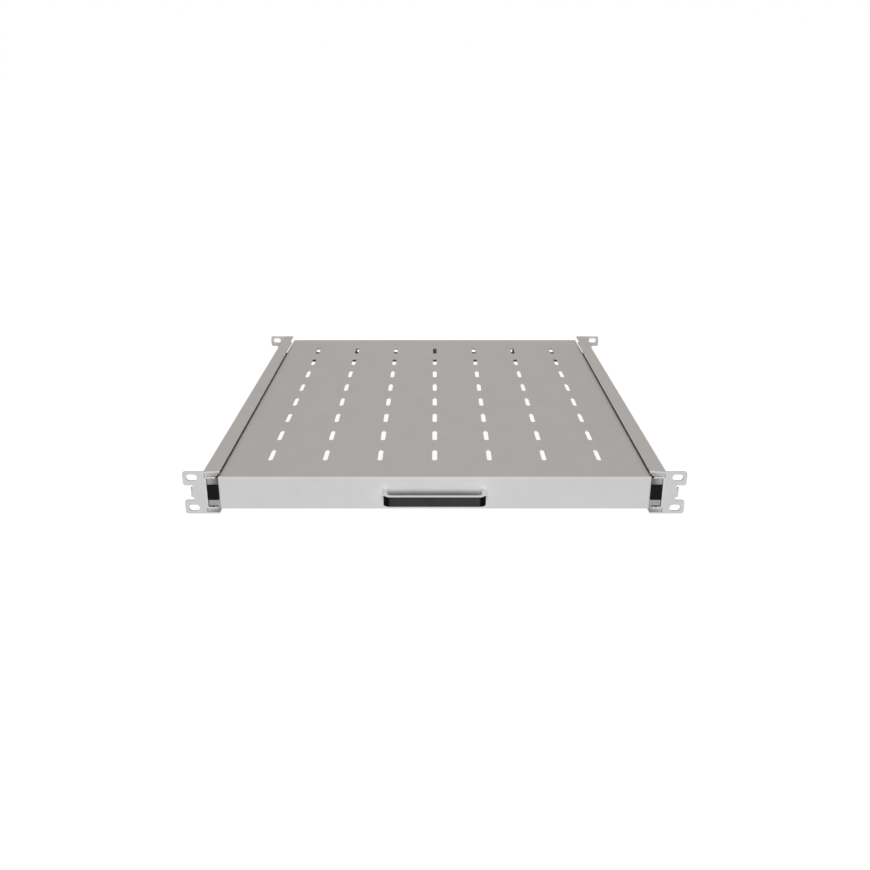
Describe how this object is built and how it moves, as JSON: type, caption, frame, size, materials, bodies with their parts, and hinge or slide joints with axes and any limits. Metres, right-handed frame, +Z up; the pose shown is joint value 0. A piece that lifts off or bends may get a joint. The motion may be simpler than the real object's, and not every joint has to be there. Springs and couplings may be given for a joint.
{
  "type": "sliding rack shelf",
  "caption": "Slotted sheet-steel tray with a bow handle that slides out on ball-bearing runners between two side brackets with slotted ears for rack posts.",
  "frame": {"origin": "middle of the front ears' front plane, at mid-height: the centre of the front slots", "axes": "+X to the right seen from the front, +Y back into the rack, +Z up"},
  "size_m": [0.4826, 0.5286, 0.044],
  "materials": {
    "painted_steel": "light grey powder coat, matt, fine grain",
    "zinc_steel": "bright zinc plating on rolled strip",
    "cage_steel": "plain zinc strip",
    "ball_steel": "polished bearing steel",
    "fastener_steel": "zinc-plated fasteners",
    "bow_aluminium": "satin light aluminium",
    "black_plastic": "moulded black plastic, slightly glossy"
  },
  "bodies": {
    "brackets": {"left_bracket": "painted_steel", "left_outer_member": "zinc_steel", "left_bracket_rivets": "fastener_steel", "left_rear_stop": "black_plastic", "right_bracket": "painted_steel", "right_outer_member": "zinc_steel", "right_bracket_rivets": "fastener_steel", "right_rear_stop": "black_plastic"},
    "tray": {"tray": "painted_steel", "handle_bow": "bow_aluminium", "handle_grip": "black_plastic", "handle_screws": "fastener_steel", "left_inner_member": "zinc_steel", "left_slide_screws": "fastener_steel", "left_front_bumper": "black_plastic", "right_inner_member": "zinc_steel", "right_slide_screws": "fastener_steel", "right_front_bumper": "black_plastic"},
    "left_intermediate": {"left_intermediate_member": "zinc_steel"},
    "left_outer_cage": {"left_outer_cage": "cage_steel", "left_outer_balls": "ball_steel"},
    "left_inner_cage": {"left_inner_cage": "cage_steel", "left_inner_balls": "ball_steel"},
    "right_intermediate": {"right_intermediate_member": "zinc_steel"},
    "right_outer_cage": {"right_outer_cage": "cage_steel", "right_outer_balls": "ball_steel"},
    "right_inner_cage": {"right_inner_cage": "cage_steel", "right_inner_balls": "ball_steel"}
  },
  "joints": [
    {"name": "tray_slide", "type": "slide", "parent": "brackets", "child": "tray", "axis": [0, -1, 0], "range_m": [0, 0.4]},
    {"name": "left_intermediate_slide", "type": "slide", "parent": "brackets", "child": "left_intermediate", "axis": [0, -1, 0], "range_m": [0, 0.2]},
    {"name": "left_outer_cage_slide", "type": "slide", "parent": "brackets", "child": "left_outer_cage", "axis": [0, -1, 0], "range_m": [0, 0.1]},
    {"name": "left_inner_cage_slide", "type": "slide", "parent": "brackets", "child": "left_inner_cage", "axis": [0, -1, 0], "range_m": [0, 0.3]},
    {"name": "right_intermediate_slide", "type": "slide", "parent": "brackets", "child": "right_intermediate", "axis": [0, -1, 0], "range_m": [0, 0.2]},
    {"name": "right_outer_cage_slide", "type": "slide", "parent": "brackets", "child": "right_outer_cage", "axis": [0, -1, 0], "range_m": [0, 0.1]},
    {"name": "right_inner_cage_slide", "type": "slide", "parent": "brackets", "child": "right_inner_cage", "axis": [0, -1, 0], "range_m": [0, 0.3]}
  ],
  "couplings": [
    {"joint": "left_intermediate_slide", "follows": "tray_slide", "ratio": 0.5},
    {"joint": "left_outer_cage_slide", "follows": "tray_slide", "ratio": 0.25},
    {"joint": "left_inner_cage_slide", "follows": "tray_slide", "ratio": 0.75},
    {"joint": "right_intermediate_slide", "follows": "tray_slide", "ratio": 0.5},
    {"joint": "right_outer_cage_slide", "follows": "tray_slide", "ratio": 0.25},
    {"joint": "right_inner_cage_slide", "follows": "tray_slide", "ratio": 0.75}
  ]
}
